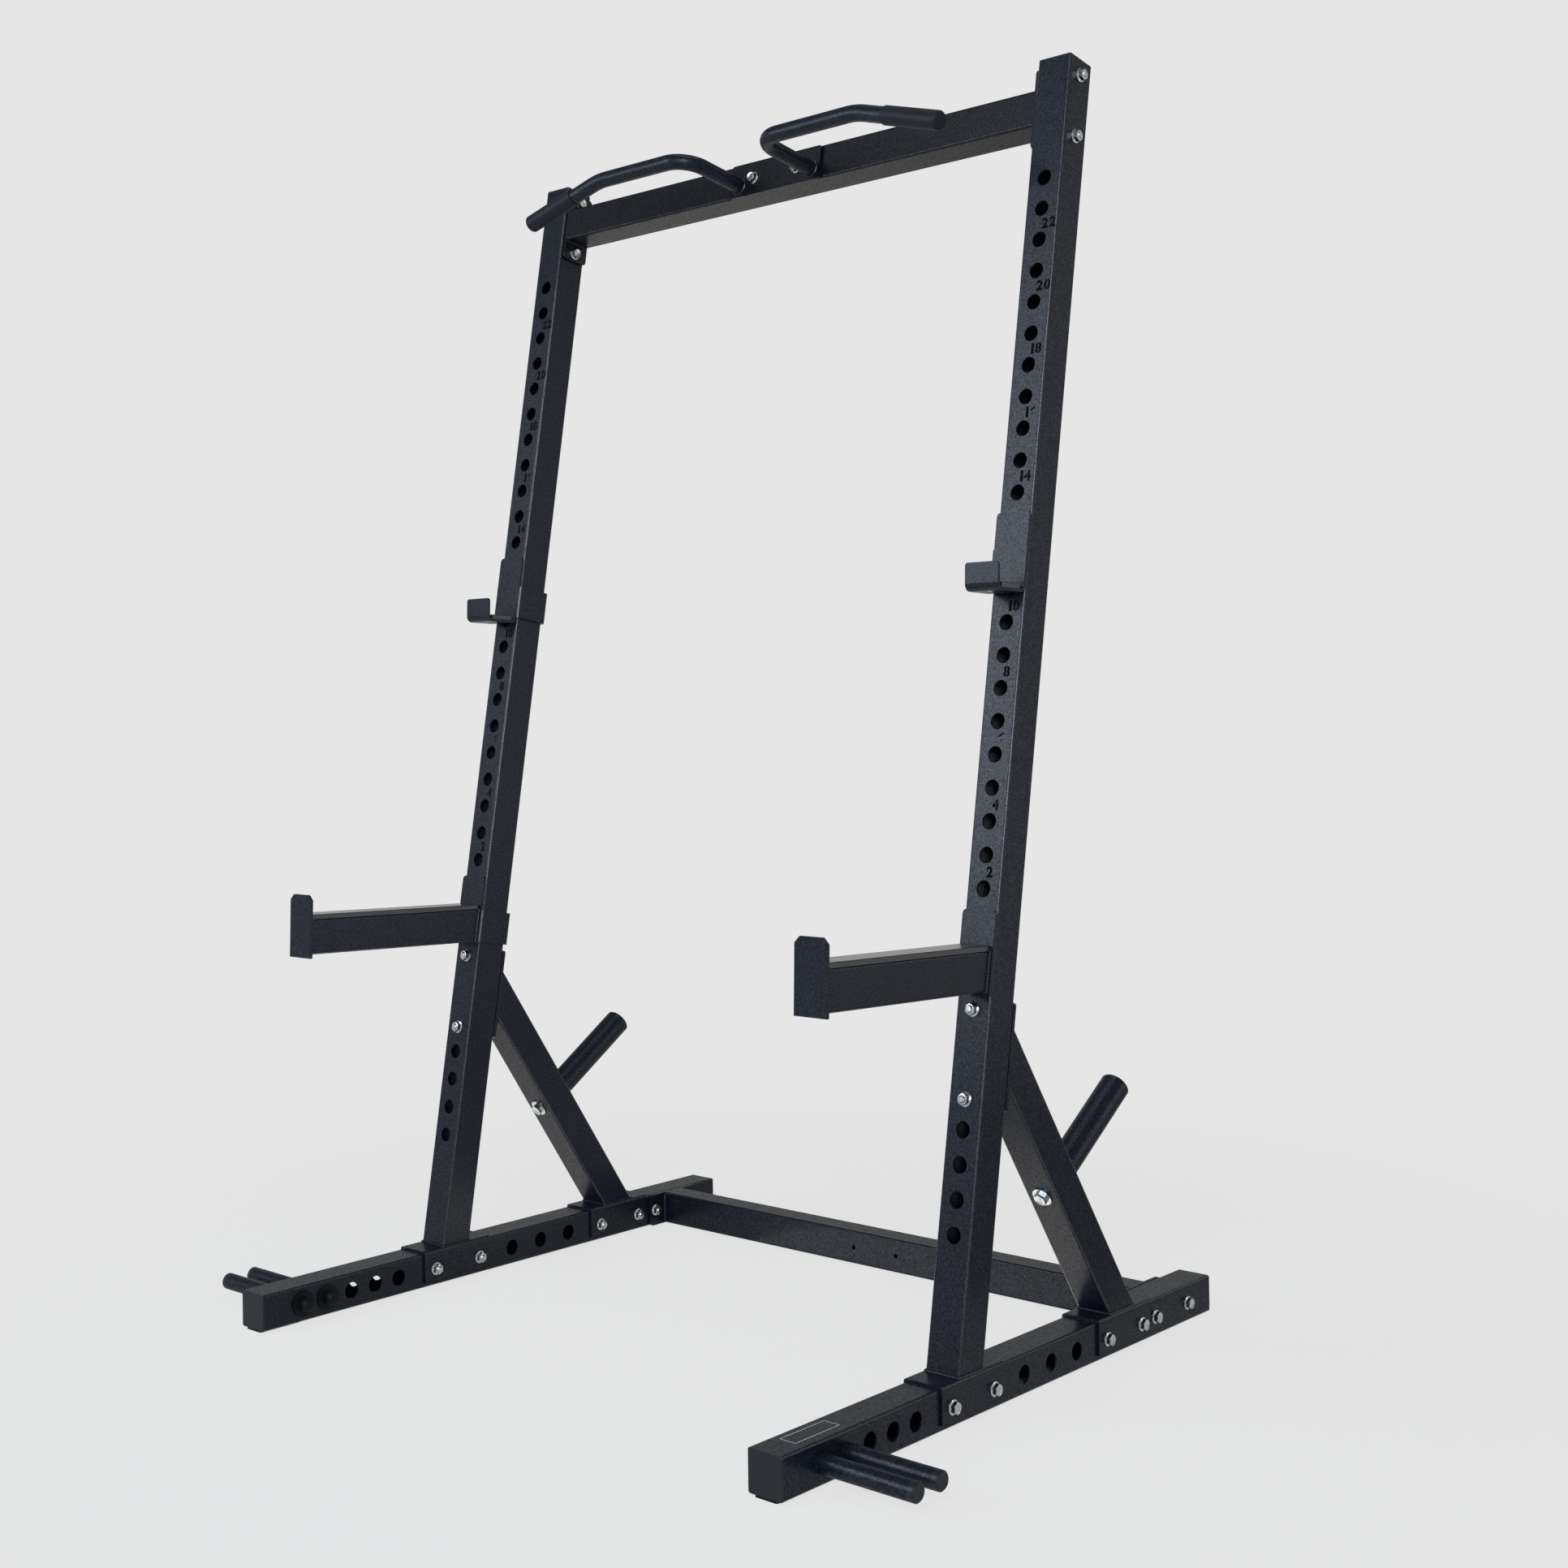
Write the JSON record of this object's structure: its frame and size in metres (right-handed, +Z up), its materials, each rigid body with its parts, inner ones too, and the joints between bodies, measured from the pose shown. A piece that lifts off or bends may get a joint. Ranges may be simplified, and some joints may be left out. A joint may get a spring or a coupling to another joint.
{
  "type": "half rack with reclined uprights",
  "caption": "Free-standing lifting rack: leaning drilled uprights on floor rails, braced behind, with a pull-up beam, bar cups, spotter arms, plate horns and band pegs.",
  "frame": {"origin": "on the floor, under the middle of the rails", "axes": "+Z up, +X to the right seen from the front, +Y to the rear; the spotter arms point to -Y"},
  "size_m": [1.526, 1.08, 2.0313],
  "materials": {
    "frame_steel": "black textured powder coat",
    "fitting_steel": "black textured powder coat",
    "cap_plastic": "black moulded plastic",
    "liner_plastic": "black wear plastic",
    "pad_rubber": "black rubber",
    "grip_rubber": "black rubber sleeve",
    "zinc_steel": "bright zinc plate",
    "screw_steel": "bright zinc plate",
    "black_fastener": "black"
  },
  "bodies": {
    "frame": {"base_rail_left": "frame_steel", "base_rail_right": "frame_steel", "upright_left": "frame_steel", "upright_right": "frame_steel", "foot_saddle_left": "frame_steel", "foot_saddle_right": "frame_steel", "brace_left": "frame_steel", "brace_right": "frame_steel", "plate_horn_left": "frame_steel", "plate_horn_right": "frame_steel", "rear_cross_tube": "frame_steel", "pull_up_beam": "frame_steel", "handle_plate": "frame_steel", "pull_up_handle_left": "frame_steel", "pull_up_handle_right": "frame_steel", "band_peg_front_left": "frame_steel", "band_peg_front_right": "frame_steel", "band_peg_rear_left": "frame_steel", "band_peg_rear_right": "frame_steel", "rail_cap_front_left": "cap_plastic", "rail_cap_front_right": "cap_plastic", "rail_cap_rear_left": "cap_plastic", "rail_cap_rear_right": "cap_plastic", "upright_cap_left": "cap_plastic", "upright_cap_right": "cap_plastic", "horn_cap_left": "cap_plastic", "horn_cap_right": "cap_plastic", "peg_caps": "cap_plastic", "floor_pad_front_left": "pad_rubber", "floor_pad_front_right": "pad_rubber", "floor_pad_rear_left": "pad_rubber", "floor_pad_rear_right": "pad_rubber", "handle_grip_left": "grip_rubber", "handle_grip_right": "grip_rubber", "saddle_bolts": "zinc_steel", "saddle_nuts": "zinc_steel", "cross_tube_bolts": "zinc_steel", "cross_tube_nuts": "zinc_steel", "beam_bolts": "zinc_steel", "beam_nuts": "zinc_steel", "brace_bolts": "zinc_steel", "brace_nuts": "zinc_steel", "handle_bolts": "zinc_steel", "handle_nuts": "zinc_steel", "horn_bolts": "zinc_steel", "horn_washers": "zinc_steel", "peg_washers": "black_fastener", "peg_nuts": "black_fastener"},
    "left_spotter": {"spotter_arm_left": "fitting_steel", "spotter_liner_left": "liner_plastic", "spotter_screws_left": "screw_steel"},
    "left_cup": {"bar_cup_left": "fitting_steel", "bar_cup_liner_left": "liner_plastic", "bar_cup_screws_left": "screw_steel"},
    "right_spotter": {"spotter_arm_right": "fitting_steel", "spotter_liner_right": "liner_plastic", "spotter_screws_right": "screw_steel"},
    "right_cup": {"bar_cup_right": "fitting_steel", "bar_cup_liner_right": "liner_plastic", "bar_cup_screws_right": "screw_steel"}
  },
  "joints": [
    {"name": "left_spotter_roll", "type": "hinge", "parent": "frame", "child": "left_spotter", "pos_m": [-0.573, -0.05343, 0.70239], "axis": [0, -0.9857, 0.1685], "range_deg": [0, 90]},
    {"name": "left_cup_roll", "type": "hinge", "parent": "frame", "child": "left_cup", "pos_m": [-0.573, 0.04767, 1.29381], "axis": [0, -0.9857, 0.1685], "range_deg": [0, 90]},
    {"name": "right_spotter_roll", "type": "hinge", "parent": "frame", "child": "right_spotter", "pos_m": [0.573, -0.05343, 0.70239], "axis": [0, 0.9857, -0.1685], "range_deg": [0, 90]},
    {"name": "right_cup_roll", "type": "hinge", "parent": "frame", "child": "right_cup", "pos_m": [0.573, 0.04767, 1.29381], "axis": [0, 0.9857, -0.1685], "range_deg": [0, 90]}
  ]
}
